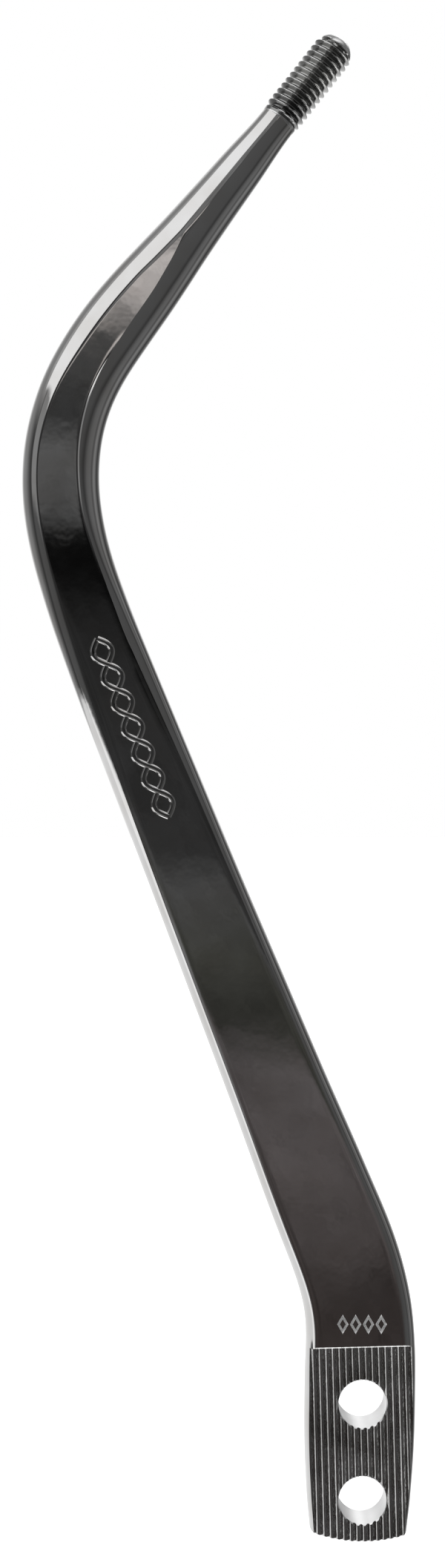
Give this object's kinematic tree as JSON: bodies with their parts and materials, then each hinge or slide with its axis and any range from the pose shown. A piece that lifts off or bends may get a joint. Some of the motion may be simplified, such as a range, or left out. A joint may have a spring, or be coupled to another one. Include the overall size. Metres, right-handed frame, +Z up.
{
  "type": "gear shift lever",
  "caption": "Chromed gear shift lever with a serrated bolt-on pad, a flat blade, a swept bend into a tapered round shank, and a threaded end for a knob.",
  "frame": {"origin": "midway between the two bolt holes, on the serrated clamping face", "axes": "+Z up along the lever from the pad towards the knob thread, -Y out of the serrated and marked front face, +X completes the right-handed frame"},
  "size_m": [0.0916, 0.013, 0.3497],
  "materials": {
    "chrome": "bright chrome plate over polished forged steel, worn satin on the thread's dome"
  },
  "bodies": {
    "root": {"shift_lever": "chrome"}
  },
  "joints": []
}
